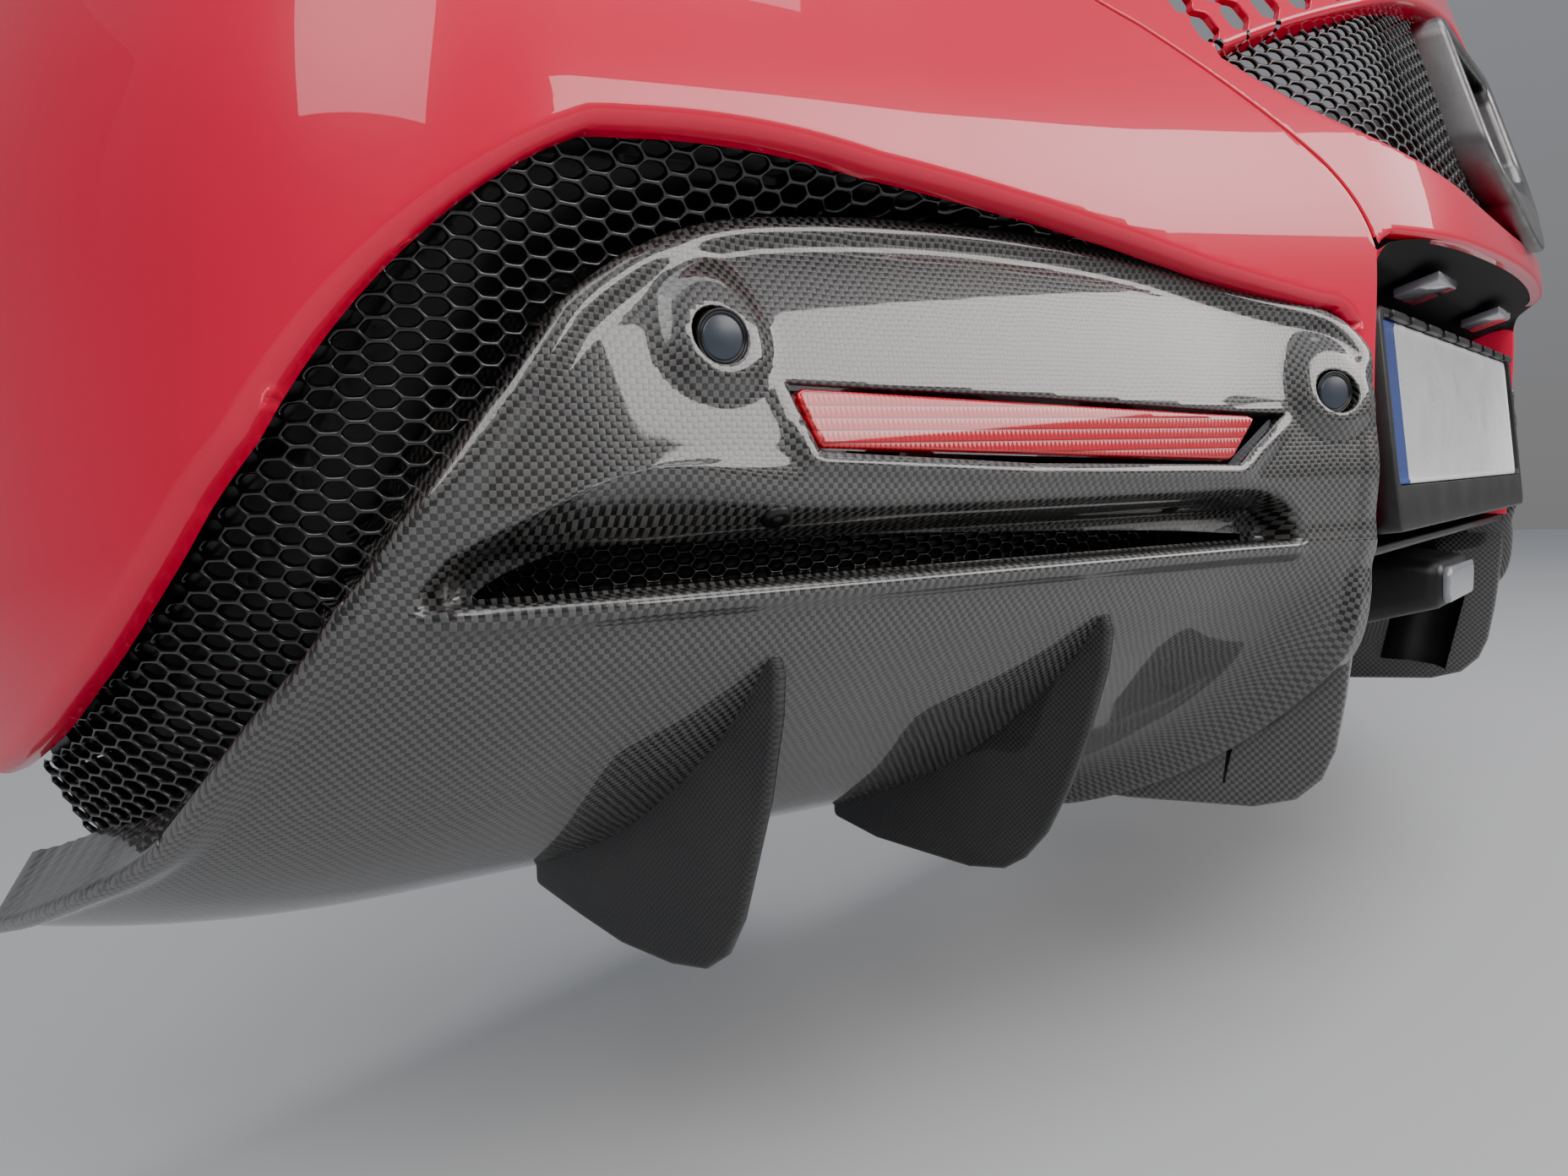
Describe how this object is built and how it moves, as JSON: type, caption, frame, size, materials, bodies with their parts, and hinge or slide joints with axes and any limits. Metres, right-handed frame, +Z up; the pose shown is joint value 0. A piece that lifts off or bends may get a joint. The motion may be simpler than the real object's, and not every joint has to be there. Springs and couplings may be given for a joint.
{
  "type": "rear bumper assembly",
  "caption": "Supercar rear bumper with arched outlets, carbon diffuser pods, strakes, meshes, plate recess, exhaust finisher and the crash beam that carries them.",
  "frame": {"origin": "centre of the bolt pattern on the chassis face, midway between the two crash boxes' flanges", "axes": "+X to the vehicle's right, +Y to its front, out of the flanges towards the chassis, +Z up"},
  "size_m": [1.865, 0.615, 0.634],
  "materials": {
    "body_paint": "gloss clear coat",
    "carbon": "clear-coated woven carbon",
    "dark_carbon": "satin woven carbon",
    "reflector_red": "gloss prismatic",
    "sensor_plastic": "satin",
    "mesh_black": "satin black",
    "finisher_metal": "satin",
    "pipe_steel": "heat-dulled",
    "black_plastic": "satin",
    "lamp_clear": "gloss",
    "plate_white": "satin",
    "beam_aluminium": "extruded",
    "bracket_steel": "black e-coat"
  },
  "bodies": {
    "root": {"centre_panel": "body_paint", "side_panel_left": "body_paint", "side_panel_right": "body_paint", "diffuser_pod_left": "carbon", "diffuser_pod_right": "carbon", "strake_outer_left": "dark_carbon", "strake_outer_right": "dark_carbon", "strake_inner_left": "dark_carbon", "strake_inner_right": "dark_carbon", "centre_floor": "dark_carbon", "reflector_left": "reflector_red", "reflector_right": "reflector_red", "parking_sensor_outer_left": "sensor_plastic", "parking_sensor_outer_right": "sensor_plastic", "parking_sensor_inner_left": "sensor_plastic", "parking_sensor_inner_right": "sensor_plastic", "push_pin_outer_left": "sensor_plastic", "push_pin_outer_right": "sensor_plastic", "push_pin_inner_left": "sensor_plastic", "push_pin_inner_right": "sensor_plastic", "outlet_mesh_left": "mesh_black", "outlet_mesh_right": "mesh_black", "slot_mesh_left": "mesh_black", "slot_mesh_right": "mesh_black", "upper_mesh": "mesh_black", "exhaust_finisher": "finisher_metal", "tail_pipe": "pipe_steel", "centre_lamp_housing": "black_plastic", "plate_carrier": "black_plastic", "outlet_duct_left": "black_plastic", "outlet_duct_right": "black_plastic", "centre_lamp_lens": "lamp_clear", "plate_lamp_left": "lamp_clear", "plate_lamp_right": "lamp_clear", "number_plate": "plate_white", "crash_beam": "beam_aluminium", "crash_box_left": "beam_aluminium", "crash_box_right": "beam_aluminium", "recess_bracket_left": "bracket_steel", "recess_bracket_right": "bracket_steel", "floor_stay_left": "bracket_steel", "floor_stay_right": "bracket_steel", "pod_stay_left": "bracket_steel", "pod_stay_right": "bracket_steel", "fender_bracket_left": "bracket_steel", "fender_bracket_right": "bracket_steel"}
  },
  "joints": []
}
